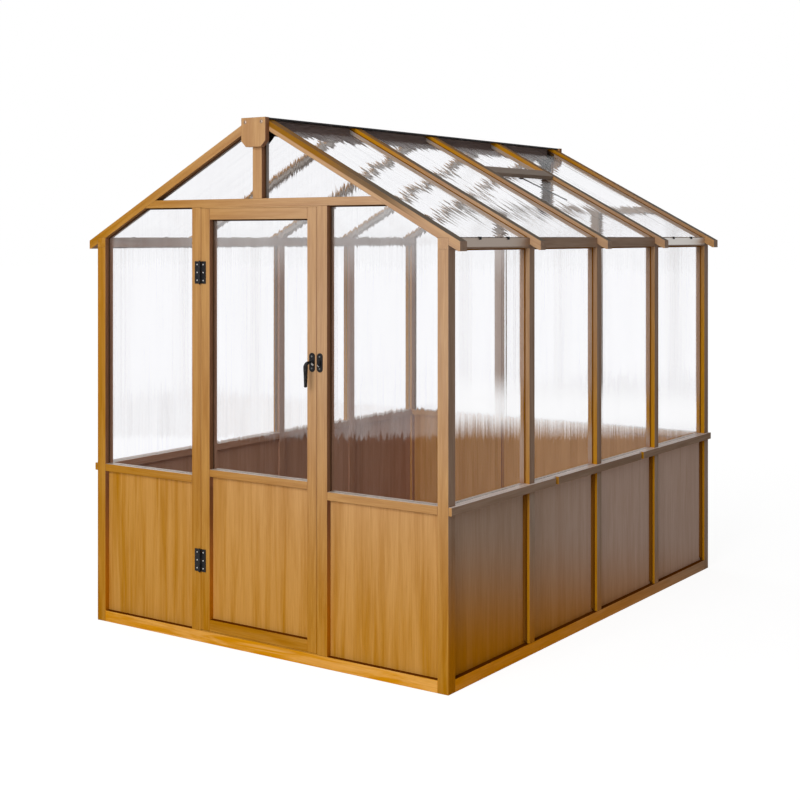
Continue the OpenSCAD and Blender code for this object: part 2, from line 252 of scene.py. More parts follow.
# Painted bounce light from the floor, warming the foot of the right-hand side.
FOOT_PAINTED_BOUNCE = (1.22, 1.06, 0.90, 1)
FOOT_FALL = 0.2
ABOVE_FOOT = (-0.12, 0.42)
FACING_RIGHT_SIDE = (0.25, 0.6)
OUTERMOST = (0.886, 0.892)
BELOW_SILL = (0.655, 0.640)
BEHIND_POST = (-1.17, -1.15)
PROUD = (0.900, 0.905)
NEAR_TO_FAR = (-0.9, 0.3)

# Indoors: painted shade, painted light where faces look toward the door, a pale painted reflection in the
# loft and painted shade under the back of the ridge.
INDOOR_PAINTED_SHADE = ((0.440, 0.238, 0.152, 1), (0.540, 0.310, 0.214, 1))
INDOOR_BACK_PAINTED_LIGHT = ((0.540, 0.265, 0.090, 1), (0.680, 0.370, 0.160, 1))
INDOORS_LIT = (0.570, 0.400, 0.310, 1)
LOFT_PAINTED_REFLECTION = (0.480, 0.440, 0.410, 1)
LOFT_FRONT_PAINTED_LIGHT = (0.500, 0.400, 0.330, 1)
LOFT_BACK_PAINTED_SHADE = (0.055, 0.032, 0.020, 1)
FACING_DOOR = (-0.3, -0.7)
INSIDE_ROOF = 0.002
INSIDE_SIDES = (0.888, 0.886)
INSIDE_ENDS = (1.198, 1.196)
ABOVE_SILL = (0.68, 0.72)
OFF_LEFT_WALL = (-0.86, -0.84)
AT_BACK_WALL = (0.9, 1.0)
RIGHT_OF_RIDGE = (0.03, 0.06)
AT_BACK_PEAK = (1.10, 1.14)
UNDER_RIDGE = (0.06, 0.03)
IN_LOFT = (1.55, 1.80)

# Upward faces: painted shade in the groove at the foot and a pale painted reflection at the waist; dark brown
# high up, golden towards the peak.
LEDGE_PAINTED_SHADE = (0.150, 0.042, 0.001, 1)
LEDGE_PAINTED_REFLECTION = (0.80, 0.66, 0.59, 1)
LEDGE_FRONT_PAINTED_REFLECTION = (0.63, 0.51, 0.42, 1)
LEDGE_HIGH = (0.150, 0.110, 0.075, 1)
LEDGE_PEAK = (0.290, 0.120, 0.004, 1)
LEDGE_SHEEN = 0.8
WOOD_SHEEN = 0.2
LYING = (0.78, 0.87)
FOOT_TO_WAIST = (0.15, 0.60)
WAIST_TO_EAVES = (1.0, 1.6)
PEAK_TO_EAVES = (0.10, 0.45)
AT_GABLES = (1.17, 1.19)
GABLE_SHIFT = -0.2
DUST_RISE = (0.3, 0.6)
DUST_FALL = (1.4, 1.1)
SHEEN_RISE = (0.4, 1.4)

PEAK_GOLD = (0.560, 0.245, 0.006, 1)
# Painted light on the door-facing reveals of the right-hand side.
REVEAL_PAINTED_LIGHT = (0.660, 0.300, 0.010, 1)
# A narrow band of painted shade along the front gable's right-hand rafter.
EDGE_GOLD = (0.300, 0.130, 0.008, 1)
EDGE_BROWN = (0.190, 0.115, 0.060, 1)
EDGE_BAND = (0.004, 0.001)
REVEAL_START = (-1.185, -1.170)
REVEAL_TURN = (0.6, 0.3)
REVEAL_SLANT = 0.45
REVEAL_FADE = (1.35, 0.45)
HEAD_REACH = (0.55, 0.12)
HEAD_RISE = (1.75, 1.85)
BETWEEN_GABLES = (1.190, 1.178)
OUTDOORS = (0.6, 0.4)
RIGHT_HALF = (-0.02, 0.0)
EDGE_START = (0.02, 0.05)
EDGE_END = (0.85, 0.60)
EDGE_TURNS_BROWN = (0.30, 0.50)
GABLE_FRONT = (-1.200, -1.202)
BEHIND_GUSSET = (-1.2270, -1.2255)
MIX_SOCKETS = (0, 6, 7)
MIX_RESULT = 2
grain_dice = random.Random(7)


def mapped(tree, vector, scale):
    """A vector stretched along its axes."""
    return node_of(tree, "Mapping", Vector=vector, Scale=scale)


def graded(tree, value, low, high, new_low=0.0, new_high=1.0, steps="SMOOTHSTEP"):
    """A number carried from one range to another, held within it and eased at both ends."""
    found = node_of(
        tree, "MapRange", Value=value, From_Min=low, From_Max=high, To_Min=new_low, To_Max=new_high
    )
    found.node.interpolation_type = steps
    return found


def mixed(tree, factor, first, second, blend="MIX"):
    """Two colours mixed."""
    node = tree.nodes.new("ShaderNodeMix")
    node.data_type = "RGBA"
    node.blend_type = blend
    for place, value in zip(MIX_SOCKETS, (factor, first, second)):
        fill(tree, node.inputs[place], value)
    return node.outputs[MIX_RESULT]


def figure(tree, scale, detail=4.0, distortion=0.0):
    """A noise stretched along the grain of each timber."""
    grain = tree.nodes.new("ShaderNodeAttribute")
    grain.attribute_name = "grain"
    vector = mapped(tree, grain.outputs["Vector"], scale)
    return node_of(
        tree, "TexNoise", Vector=vector, Scale=1.0, Detail=detail, Roughness=0.58, Distortion=distortion
    )


def axes_of(tree, kind):
    """The three parts of the place, or of the facing, of each point of a piece."""
    parts = tree.nodes.new("ShaderNodeSeparateXYZ")
    tree.links.new(tree.nodes.new("ShaderNodeTexCoord").outputs[kind], parts.inputs[0])
    return parts.outputs


def varnished(tree, wood, roughness, sheen=0.0, fibrous=FIBROUS):
    """Ends a wood material: its fibres stand a little proud in a satin varnish."""
    fibres = figure(tree, FINE_GRAIN, detail=3.0)
    wood = mixed(tree, graded(tree, fibres, *FIBRE_BAND, fibrous, 0.0), wood, FIBRE, "MULTIPLY")
    shader = node_of(
        tree,
        "BsdfPrincipled",
        Base_Color=wood,
        Roughness=graded(tree, fibres, *CLOUD_BAND, roughness + DULLER_BETWEEN, roughness - GLOSSIER_ON),
        Normal=node_of(tree, "Bump", Strength=FIBRE_STRENGTH, Distance=FIBRE_RISE, Height=fibres),
        Specular_IOR_Level=0.0,
        Coat_Weight=sheen,
        Coat_Roughness=COAT_ROUGHNESS,
    )
    surface(tree, shader)


def where(tree, share, *others):
    """How far a point lies in all of the given reaches at once."""
    for other in others:
        share = sum_of(tree, share, other, "MULTIPLY")
    return share


def spots_of(tree):
    """Where each point of a piece lies and faces, and whether that is indoors, as named outputs."""
    spot = SimpleNamespace()
    spot.across, spot.back, spot.up = axes_of(tree, "Object")
    spot.east, spot.south, spot.skyward = axes_of(tree, "Normal")
    spot.off_middle = sum_of(tree, spot.across, 0.0, "ABSOLUTE")
    spot.off_centre = sum_of(tree, spot.back, 0.0, "ABSOLUTE")
    spot.facing_door = graded(tree, spot.south, *FACING_DOOR)
    spot.outermost = graded(tree, spot.off_middle, *OUTERMOST)
    spot.lying = graded(tree, spot.skyward, *LYING)
    out = sum_of(tree, spot.off_middle, SLOPE_OUT.x, "MULTIPLY")
    spot.towards_roof = sum_of(tree, out, sum_of(tree, spot.up, SLOPE_OUT.z, "MULTIPLY"))
    indoors = graded(tree, spot.towards_roof, SLOPE_REACH, SLOPE_REACH - INSIDE_ROOF)
    indoors = sum_of(tree, indoors, graded(tree, spot.off_middle, *INSIDE_SIDES), "MINIMUM")
    spot.indoors = sum_of(tree, indoors, graded(tree, spot.off_centre, *INSIDE_ENDS), "MINIMUM")
    return spot


def with_painted_reflection(tree, spot, honey):
    """Honey-stained wood, with a pale painted reflection mixed in towards the roof and the front right-hand
    corner.
    """
    behind = sum_of(tree, spot.back, PAINTED_REFLECTION_START)
    reflection_share = sum_of(tree, spot.up, sum_of(tree, behind, -PAINTED_REFLECTION_FALL, "MULTIPLY"))
    reflection_share = graded(tree, reflection_share, *PAINTED_REFLECTION_RISE, 0.0, PAINTED_REFLECTION_SHARE)
    return mixed(tree, where(tree, reflection_share, graded(tree, spot.across, *PAINTED_REFLECTION_ACROSS)), honey, PAINTED_REFLECTION)


def shade_side_paint(tree, spot, shade, honey, honey_stain, painted_shade_stain):
    """The shaded right-hand side: painted shade with a grey painted reflection, painted darker on the near
    boards, and warm honey with painted bounce light at its foot.
    """
    grey = mixed(tree, spot.outermost, mixed(tree, shade, *RECESS_PAINTED_SHADE), mixed(tree, shade, *painted_shade_stain))
    low = graded(tree, spot.up, *BELOW_SILL)
    studs = where(tree, low, graded(tree, spot.back, *BEHIND_POST), graded(tree, spot.off_middle, *PROUD))
    grey = mixed(tree, studs, grey, mixed(tree, shade, *PAINTED_SHADE_STUDS))
    boards = where(tree, low, graded(tree, spot.off_middle, *reversed(PROUD)))
    tone = mixed(tree, graded(tree, spot.back, *NEAR_TO_FAR), BOARDS_NEAR, BOARDS_FAR)
    grey = mixed(tree, boards, grey, tone, "MULTIPLY")
    foot = mixed(tree, FOOT_PLAIN, honey_stain[0], mixed(tree, shade, honey_stain[0], honey))
    foot = mixed(tree, 1.0, foot, FOOT_PAINTED_BOUNCE, "MULTIPLY")
    above_foot = sum_of(tree, spot.up, sum_of(tree, spot.back, FOOT_FALL, "MULTIPLY"))
    return mixed(tree, graded(tree, above_foot, *ABOVE_FOOT), foot, grey)


def indoor_painted_shade_and_light(tree, spot, shade):
    """The wood indoors: brown painted shade, painted light where it faces the door, and up in the loft a pale
    painted reflection, with painted shade under the back of the ridge.
    """
    lit = where(
        tree, spot.facing_door, graded(tree, spot.up, *ABOVE_SILL), graded(tree, spot.across, *OFF_LEFT_WALL)
    )
    at_back = where(tree, spot.facing_door, graded(tree, spot.back, *AT_BACK_WALL))
    inner = mixed(tree, at_back, mixed(tree, shade, *INDOOR_PAINTED_SHADE), mixed(tree, shade, *INDOOR_BACK_PAINTED_LIGHT))
    inner = mixed(tree, lit, inner, INDOORS_LIT)
    loft_front = where(tree, spot.facing_door, graded(tree, spot.across, *RIGHT_OF_RIDGE))
    loft_back = where(
        tree, graded(tree, spot.back, *AT_BACK_PEAK), graded(tree, spot.off_middle, *UNDER_RIDGE)
    )
    loft = mixed(tree, loft_back, mixed(tree, loft_front, LOFT_PAINTED_REFLECTION, LOFT_FRONT_PAINTED_LIGHT), LOFT_BACK_PAINTED_SHADE)
    return mixed(tree, graded(tree, spot.up, *IN_LOFT), inner, loft)


def ledges(tree, spot):
    """Upward faces: painted shade at the foot, a pale painted reflection at the waist, dark brown higher up
    and golden towards the peak.
    """
    waist = mixed(tree, spot.outermost, LEDGE_FRONT_PAINTED_REFLECTION, LEDGE_PAINTED_REFLECTION)
    low = mixed(tree, graded(tree, spot.up, *FOOT_TO_WAIST), LEDGE_PAINTED_SHADE, waist)
    from_peak = sum_of(tree, spot.off_middle, graded(tree, spot.off_centre, *AT_GABLES, 0.0, GABLE_SHIFT))
    high = mixed(tree, graded(tree, from_peak, *PEAK_TO_EAVES), LEDGE_PEAK, LEDGE_HIGH)
    return mixed(tree, graded(tree, spot.up, *WAIST_TO_EAVES), low, high)


def reveals(tree, spot):
    """How much painted light the right-hand side's door-facing reveals get, fading upward and towards the
    front.
    """
    farther = sum_of(tree, spot.up, sum_of(tree, spot.back, -REVEAL_SLANT, "MULTIPLY"))
    return where(
        tree,
        where(tree, spot.facing_door, graded(tree, spot.back, *REVEAL_START)),
        where(tree, spot.outermost, graded(tree, spot.east, *REVEAL_TURN)),
        graded(tree, farther, *REVEAL_FADE),
    )


def rafter_heads(tree, spot):
    """How golden the outer rafters' upper ends are, on the right-hand slope."""
    return where(
        tree,
        graded(tree, spot.off_middle, *HEAD_REACH),
        graded(tree, spot.up, *HEAD_RISE),
        spot.facing_door,
        graded(tree, spot.off_centre, *BETWEEN_GABLES),
        graded(tree, spot.indoors, *OUTDOORS),
        graded(tree, spot.across, *RIGHT_HALF),
    )


def gable_edge(tree, spot):
    """The narrow band of painted shade along the upper edge of the front gable's right-hand rafter."""
    return where(
        tree,
        graded(tree, spot.towards_roof, SLOPE_REACH - EDGE_BAND[0], SLOPE_REACH - EDGE_BAND[1]),
        graded(tree, spot.across, *EDGE_START),
        graded(tree, spot.across, *EDGE_END),
        spot.facing_door,
        graded(tree, spot.back, *GABLE_FRONT),
        graded(tree, spot.back, *BEHIND_GUSSET),
    )


def stained(name, broad, veins, distortion, honey_stain=HONEY, painted_shade_stain=PAINTED_SHADE_SIDE, fibrous=FIBROUS):
    """Stained softwood, with painted light, shade and reflection on each side of the house."""
    material, tree = empty_material(name)
    spot = spots_of(tree)
    shade = graded(tree, figure(tree, broad, 5.0, distortion), *veins)
    honey = mixed(tree, shade, *honey_stain)
    shade_side = shade_side_paint(tree, spot, shade, honey, honey_stain, painted_shade_stain)
    edge_shade_tint = mixed(tree, graded(tree, spot.across, *EDGE_TURNS_BROWN), EDGE_GOLD, EDGE_BROWN)
    # Towards the roof and the front right-hand corner, a pale painted reflection of the surround.
    wood = with_painted_reflection(tree, spot, honey)
    # On faces toward +X, painted shade with a grey painted reflection.
    wood = mixed(tree, graded(tree, spot.east, *FACING_RIGHT_SIDE), wood, shade_side)
    # Indoors, painted shade, with painted light on faces toward the door.
    wood = mixed(tree, spot.indoors, wood, indoor_painted_shade_and_light(tree, spot, shade))
    # On upward faces, painted shade at the foot and a pale painted reflection at the waist.
    wood = mixed(tree, spot.lying, wood, ledges(tree, spot))
    # Painted light on the door-facing reveals of the right-hand side.
    wood = mixed(tree, reveals(tree, spot), wood, REVEAL_PAINTED_LIGHT)
    wood = mixed(tree, rafter_heads(tree, spot), wood, PEAK_GOLD)
    # A narrow band of painted shade along the front gable's right-hand rafter.
    wood = mixed(tree, gable_edge(tree, spot), wood, edge_shade_tint)
    dust = graded(tree, spot.up, *DUST_FALL, 0.0, LEDGE_SHEEN)
    dusty = where(tree, graded(tree, spot.up, *DUST_RISE), dust)
    sheen = graded(tree, spot.up, *SHEEN_RISE, 0.0, WOOD_SHEEN)
    sheen = sum_of(tree, sheen, where(tree, spot.lying, dusty), "MAXIMUM")
    varnished(tree, wood, VARNISH_ROUGHNESS, sheen, fibrous)
    return material


def solids_in(bm):
    """The separate solids of a mesh, each a list of its vertices."""
    found, placed = [], set()
    for start in bm.verts:
        if start in placed:
            continue
        placed.add(start)
        solid = [start]
        for vert in solid:
            for edge in vert.link_edges:
                other = edge.other_vert(vert)
                if other not in placed:
                    placed.add(other)
                    solid.append(other)
        found.append(solid)
    return found


def lay_grain(bm, way=None):
    """Gives each solid its own grain coordinates, which run the given way or along its longest edge."""
    grain = bm.verts.layers.float_vector.new("grain")
    for solid in solids_in(bm):
        edges = [edge for vert in solid for edge in vert.link_edges]
        longest = max(edges, key=lambda edge: edge.calc_length())
        along = way or (longest.verts[1].co - longest.verts[0].co).normalized()
        side = along.orthogonal().normalized()
        shift = Vector([grain_dice.uniform(0, 9) for _ in range(3)])
        for vert in solid:
            place = Vector((vert.co.dot(side), vert.co.dot(along.cross(side)), vert.co.dot(along)))
            vert[grain] = place + shift


def copy_of(node):
    """A node's solids as one merged mesh of whole faces."""
    bm = bmesh.new()
    bm.from_mesh(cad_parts[node].data)
    bmesh.ops.remove_doubles(bm, verts=bm.verts, dist=WELD)
    bmesh.ops.dissolve_limit(bm, angle_limit=FLAT, verts=bm.verts, edges=bm.edges)
    return bm


def ease(bm, width, edges=None, steps=2):
    """Rounds the given edges a little, or every sharp one."""
    bmesh.ops.bevel(
        bm,
        geom=edges or [edge for edge in bm.edges if edge.calc_face_angle(0) > SHARP],
        offset=width,
        segments=steps,
        profile=0.5,
        affect="EDGES",
        material=-1,
        clamp_overlap=True,
    )


def dress(node, body, material, arris=ARRIS, way=None):
    """Replaces a node by the same solids with eased edges and, on timber, their grain."""
    bm = copy_of(node)
    ease(bm, arris)
    lay_grain(bm, way)
    piece = piece_from(bm, "dressed_" + node, material)
    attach(piece, body)
    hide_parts(node)
    return piece


roof = copy_of("right_roof_sheets")
top_face = max(roof.faces, key=lambda face: face.calc_area() * (face.normal.z > 0))
SLOPE_OUT = top_face.normal.copy()
SLOPE_REACH = top_face.verts[0].co.dot(SLOPE_OUT)
roof.free()

TIMBER_VEINS = (0.34, 0.66)
TIMBER_WAVE = 0.6
GROUND_VEINS = (0.38, 0.62)
GROUND_WAVE = 1.2
# The bottom rails take a brighter honey: painted bounce light from the floor.
GROUND_HONEY_PAINTED_BOUNCE = ((0.690, 0.292, 0.004, 1), (0.830, 0.430, 0.095, 1))
timber = stained("stained_timber", BROAD_GRAIN, TIMBER_VEINS, TIMBER_WAVE)
ground_timber_painted_bounce = stained("ground_timber_painted_bounce", BROAD_GRAIN, GROUND_VEINS, GROUND_WAVE, GROUND_HONEY_PAINTED_BOUNCE)
for node in ("end_bottom_rails", "side_bottom_rails"):
    dress(node, "greenhouse", ground_timber_painted_bounce)


# ---------------------------------------------------------------------------------------------
# The posts and studs: square uprights at the corners, a pair of thin ones at each bay.
# They stand on the bottom rails and are screwed from behind, so no fixing shows outside.

for node in ("front_posts", "back_posts", "door_jambs", "back_studs", "left_studs", "right_studs"):
    dress(node, "greenhouse", timber)


# ---------------------------------------------------------------------------------------------
# The middle rails and the sills: rails housed between the uprights at waist height, and along
# each side a projecting sill, laid in three lengths with a gap between their ends.

for node in ("front_mid_rails", "back_mid_rails", "side_mid_rails", "left_sill", "right_sill"):
    dress(node, "greenhouse", timber)


# ---------------------------------------------------------------------------------------------
# The lower panels: thin boards of plain-sawn veneer, set back between the uprights and rails.
# Their grain stands upright, pale with a few darker flames.

PANEL_ARRIS = 0.0005
PANEL_GRAIN = (24.0, 24.0, 1.2)
PANEL_VEINS = (0.26, 0.64)
PANEL_WAVE = 0.35
PANEL_FIBROUS = 0.3
PANEL_HONEY = ((0.450, 0.185, 0.002, 1), (0.605, 0.302, 0.066, 1))
# The boards of the right-hand side: painted shade with a grey painted reflection.
PAINTED_SHADE_PANELS = ((0.530, 0.365, 0.280, 1), (0.590, 0.425, 0.340, 1))

boarding = stained(
    "stained_boarding", PANEL_GRAIN, PANEL_VEINS, PANEL_WAVE, PANEL_HONEY, PAINTED_SHADE_PANELS, PANEL_FIBROUS
)
for node in ("front_panels", "back_panels", "left_panels", "right_panels"):
    dress(node, "greenhouse", boarding, PANEL_ARRIS)


# ---------------------------------------------------------------------------------------------
# The heads of the walls: a top rail along each side over the studs, and a header across each
# end that the king post stands on. A rebated batten behind the front header stops the door.

for node in ("left_top_rail", "right_top_rail", "headers", "door_stop"):
    dress(node, "greenhouse", timber)


# ---------------------------------------------------------------------------------------------
# The roof frame: king posts, and five pairs of rafters notched over the top rails and butted
# at the ridge, with a gusset board over each peak.

ALONG_X = Vector((1, 0, 0))
ALONG_Y = Vector((0, 1, 0))
ALONG_Z = Vector((0, 0, 1))

for node in ("king_posts", "left_rafters", "right_rafters"):
    dress(node, "greenhouse", timber)
dress("gussets", "greenhouse", timber, way=ALONG_Z)


# ---------------------------------------------------------------------------------------------
# The gusset bolts: a pair of round bronzed heads, with a socket for the key, near the top
# corners of the front gusset, drawn a little way into the wood.

BOLT_REACH = 0.0425
BOLT_DROP = 0.018
BOLT_SINK = 0.0012
HEAD_SIDES = 20
BOLT_HEAD = (
    (0, 0.0022),
    (0.0026, 0.0022),
    (0.0030, 0.0042),
    (0.0056, 0.0034),
    (0.0080, 0.0014),
    (0.0082, 0),
)
BRONZE = ((0.24, 0.17, 0.125, 1), (0.46, 0.34, 0.26, 1))
CLOUDS_A_METRE = 400.0
PLATED_ROUGHNESS = (0.28, 0.46)


def plate_metal(name, dark, light):
    """Dull plated steel, a little cloudy."""
    material, tree = empty_material(name)
    place = node_of(tree, "TexCoord", out=3)
    cloud = node_of(tree, "TexNoise", Vector=place, Scale=CLOUDS_A_METRE, Detail=3.0)
    tint = mixed(tree, cloud, dark, light)
    dull = graded(tree, cloud, *CLOUD_BAND, *PLATED_ROUGHNESS)
    surface(tree, node_of(tree, "BsdfPrincipled", Base_Color=tint, Roughness=dull, Metallic=1.0))
    return material


def heads(name, body, outline, places, material):
    """Turned heads that face the front, one at each place, as one piece."""
    bm = bmesh.new()
    for place in places:
        verts = [bm.verts.new(place + Vector((radius, -height, 0))) for radius, height in outline]
        edges = [bm.edges.new(pair) for pair in zip(verts, verts[1:])]
        bmesh.ops.spin(
            bm,
            geom=verts + edges,
            cent=place,
            axis=(0, 1, 0),
            dvec=(0, 0, 0),
            angle=math.tau,
            steps=HEAD_SIDES,
            use_merge=True,
        )
    bmesh.ops.remove_doubles(bm, verts=bm.verts, dist=WELD)
    rims = [edge for edge in bm.edges if edge.is_boundary]
    bmesh.ops.holes_fill(bm, edges=rims, sides=0)
    bmesh.ops.recalc_face_normals(bm, faces=bm.faces)
    piece = piece_from(bm, name, material)
    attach(piece, body)
    return piece


bronzed = plate_metal("bronzed_steel", *BRONZE)
low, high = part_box("gussets")
heads(
    "gusset_bolts",
    "greenhouse",
    BOLT_HEAD,
    [Vector((side * BOLT_REACH, low.y + BOLT_SINK, high.z - BOLT_DROP)) for side in (-1, 1)],
    bronzed,
)


# ---------------------------------------------------------------------------------------------
# The ridge: a board stained dark brown between the rafters' heads, under a black metal cap,
# with a black bracket plate behind each king post.

CAP_ARRIS = 0.0008
RIDGE_STAIN = ((0.185, 0.135, 0.123, 1), (0.360, 0.285, 0.265, 1))
RIDGE_ROUGHNESS = 0.45
COAT_BLACK = ((0.004, 0.004, 0.005, 1), (0.014, 0.013, 0.014, 1))
COAT_GLEAM = 0.2
RUBBED_ROUGHNESS = (0.34, 0.52)
RUBS_A_METRE = 38.0
RUBBED_BAND = (0.4, 0.75)
PEEL_A_METRE = 900.0
PEEL_STRENGTH = 0.25
PEEL_RISE = 0.0002

dark_timber, tree = empty_material("dark_timber")
varnished(tree, mixed(tree, figure(tree, BROAD_GRAIN), *RIDGE_STAIN), RIDGE_ROUGHNESS)
dress("ridge_board", "greenhouse", dark_timber)


def powder_coat(name):
    """Black powder coat: an even skin with a fine orange peel, rubbed a little greyer in places."""
    material, tree = empty_material(name)
    place = node_of(tree, "TexCoord", out=3)
    rub = node_of(tree, "TexNoise", Vector=place, Scale=RUBS_A_METRE, Detail=5.0)
    peel = node_of(tree, "TexNoise", Vector=place, Scale=PEEL_A_METRE, Detail=1.0)
    skin = node_of(
        tree,
        "BsdfPrincipled",
        Base_Color=mixed(tree, graded(tree, rub, *RUBBED_BAND), *COAT_BLACK),
        Roughness=graded(tree, rub, *CLOUD_BAND, *RUBBED_ROUGHNESS),
        Normal=node_of(tree, "Bump", Strength=PEEL_STRENGTH, Distance=PEEL_RISE, Height=peel),
        Specular_IOR_Level=COAT_GLEAM,
    )
    surface(tree, skin)
    return material


black_metal = powder_coat("black_powder_coat")
for node in ("ridge_cap", "ridge_brackets"):
    dress(node, "greenhouse", black_metal, CAP_ARRIS)


# ---------------------------------------------------------------------------------------------
# The clear sheets: thin twin-walled plastic, fluted, set in the openings of the walls. It is
# mostly air, so it bends what is seen through it less than solid plastic would. Dew silvers it
# down to a combed line, most of all under the eaves and low on the right-hand side (+X).

WALL_FLUTE = 0.024
WALL_FLUTE_DEPTH = 0.00018
WALL_STREAKS = (230.0, 230.0, 2.4)
WALL_LEAN = 0.030
DEW_COMB = (95.0, 95.0, 2.5)
DEW_BANDS = (16.0, 16.0, 0.5)
DEW_LINE = 0.729
DEW_CLIMB = (0.080, -0.117)
DEW_TOOTH = 0.028
COMB_BAND = (0.25, 0.75)
VEIL_RISE = (0.0, 0.012, 0.0, 0.065)
VEIL_PATCHES = (0.3, 0.7, 0.7, 1.3)
EAVES_RISE = (1.48, 1.66, 0.0, 0.10)
EAVES_START = (-0.55, -0.20)
BAND_RISE = (0.0, 0.10, 0.0, 0.72)
BAND_FALL = (0.27, 0.13)
BAND_FACING = (0.5, 0.8)
RIGHT_WALL_SHEETS = (0.880, 0.884)
FLUTE_STEPS = 4
FLUTE_SHARES = (0.35, 1.0)
CALM_SHARE = 0.4
DULL_STREAKS = (0.30, 0.55)
LEANING_STREAKS = (0.2, 0.8)
SHEET_ROUGHNESS = 0.02
SHEET_BEND = 1.1
SHEET_DULL = (0.92, 0.92, 0.935, 1)
SHEET_CLEAR = (0.970, 0.970, 0.980, 1)
SHEET_LETS_THROUGH = (0.96, 0.96, 0.96, 1)
GABLE_STREAKS = (420.0, 420.0, 4.0)
GABLE_LEAN = 0.14
flute_dice = random.Random(11)


def dew(tree):
    """How silvered a wall sheet is: nothing below the dew's combed lower edge."""
    place = node_of(tree, "TexCoord", out=3)
    across, back, up = axes_of(tree, "Object")
    climb = sum_of(tree, across, DEW_CLIMB[0], "MULTIPLY")
    climb = sum_of(tree, climb, sum_of(tree, back, DEW_CLIMB[1], "MULTIPLY"))
    above = sum_of(tree, sum_of(tree, up, climb, "SUBTRACT"), DEW_LINE, "SUBTRACT")
    comb = node_of(tree, "TexNoise", Vector=mapped(tree, place, DEW_COMB), Scale=1.0, Detail=3.0)
    combed = sum_of(tree, above, graded(tree, comb, *COMB_BAND, -DEW_TOOTH, DEW_TOOTH, "LINEAR"))
    bands = node_of(tree, "TexNoise", Vector=mapped(tree, place, DEW_BANDS), Scale=1.0, Detail=2.0)
    veil = where(tree, graded(tree, combed, *VEIL_RISE), graded(tree, bands, *VEIL_PATCHES))
    eaves = where(tree, graded(tree, up, *EAVES_RISE), graded(tree, across, *EAVES_START))
    geometry = tree.nodes.new("ShaderNodeNewGeometry").outputs
    outside = sum_of(tree, graded(tree, across, *RIGHT_WALL_SHEETS), geometry["Backfacing"], "SUBTRACT")
    low_band = where(
        tree,
        graded(tree, combed, *BAND_RISE),
        graded(tree, above, *BAND_FALL),
        graded(tree, axes_of(tree, "Normal")[0], *BAND_FACING),
        graded(tree, outside, 0.0, 1.0),
    )
    return sum_of(tree, sum_of(tree, veil, eaves), low_band)


def clear_sheet(name, streaks_wide, lean, along, dewy, bend=SHEET_BEND):
    """Clear plastic, streaked along its flutes and uneven in them; the lamps shine straight through."""
    material, tree = empty_material(name)
    place = node_of(tree, "TexCoord", out=3)
    streaks = node_of(tree, "TexNoise", Vector=mapped(tree, place, streaks_wide), Scale=1.0, Detail=2.0)
    tint = mixed(tree, graded(tree, streaks, *DULL_STREAKS), SHEET_DULL, SHEET_CLEAR)
    geometry = tree.nodes.new("ShaderNodeNewGeometry").outputs
    inside = sum_of(tree, sum_of(tree, geometry["Backfacing"], -2.0, "MULTIPLY"), 1.0)
    sway = graded(tree, streaks, *LEANING_STREAKS, -lean, lean, "LINEAR")
    sway = sum_of(tree, sway, inside, "MULTIPLY")
    tilt = vector_sum(tree, "SCALE", (along,))
    fill(tree, tilt.inputs["Scale"], sway)
    leaning = vector_sum(tree, "ADD", (geometry["Normal"], tilt.outputs[0]))
    straight = vector_sum(tree, "NORMALIZE", (leaning.outputs[0],))
    clear = node_of(
        tree,
        "BsdfPrincipled",
        Base_Color=tint,
        Metallic=dew(tree) if dewy else 0.0,
        Roughness=SHEET_ROUGHNESS,
        IOR=bend,
        Transmission_Weight=1.0,
        Normal=straight.outputs[0],
    )
    let_through = node_of(tree, "BsdfTransparent", Color=SHEET_LETS_THROUGH)
    from_lamps = rays_of(tree, ("Is Shadow Ray", "Is Diffuse Ray"))
    either = tree.nodes.new("ShaderNodeMixShader")
    surface(tree, fill_inputs(tree, either, (from_lamps, clear, let_through)))
    return material


def flute(node, body, material, across, pitch, depth):
    """Replaces a node's flat sheets by fluted ones, with the flutes side by side along a direction."""
    bm = copy_of(node)
    places = [vert.co.dot(across) for vert in bm.verts]
    first, step = min(places), pitch / FLUTE_STEPS
    count = int((max(places) - first) / step)
    for cut in range(1, count + 1):
        everything = bm.verts[:] + bm.edges[:] + bm.faces[:]
        bmesh.ops.bisect_plane(
            bm, geom=everything, dist=WELD, plane_co=across * (first + cut * step), plane_no=across
        )
    swell = [flute_dice.uniform(*FLUTE_SHARES) for _ in range(count // FLUTE_STEPS + 2)]
    for solid in solids_in(bm):
        faces = {face for vert in solid for face in vert.link_faces}
        out = max(faces, key=lambda face: face.calc_area()).normal.copy()
        middle = sum(vert.co.dot(out) for vert in solid) / len(solid)
        for vert in solid:
            turn = (vert.co.dot(across) - first) / pitch
            calm = 1 - CALM_SHARE * min(max(vert.co.y / cad_high.y, 0), 1) if across.y else 1
            inward = calm * depth * swell[int(turn + 0.001)] * (1 - math.cos(math.tau * turn)) / 2
            side = math.copysign(1, vert.co.dot(out) - middle)
            vert.co -= out * side * inward
    for face in bm.faces:
        face.smooth = True
    for edge in bm.edges:
        edge.smooth = edge.calc_face_angle(math.pi) < SHARP
    piece = piece_from(bm, "fluted_" + node, material)
    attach(piece, body)
    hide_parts(node)
    return piece


wall_plastic = clear_sheet("wall_sheet_plastic", WALL_STREAKS, WALL_LEAN, ALONG_Z, dewy=True)
gable_plastic = clear_sheet("gable_sheet_plastic", GABLE_STREAKS, GABLE_LEAN, ALONG_Z, dewy=False)
for node, plastic, across in (
    ("front_glazing", wall_plastic, ALONG_X),
    ("back_glazing", wall_plastic, ALONG_X),
    ("gable_glazing", gable_plastic, ALONG_X),
    ("left_glazing", wall_plastic, ALONG_Y),
    ("right_glazing", wall_plastic, ALONG_Y),
):
    flute(node, "greenhouse", plastic, across, WALL_FLUTE, WALL_FLUTE_DEPTH)


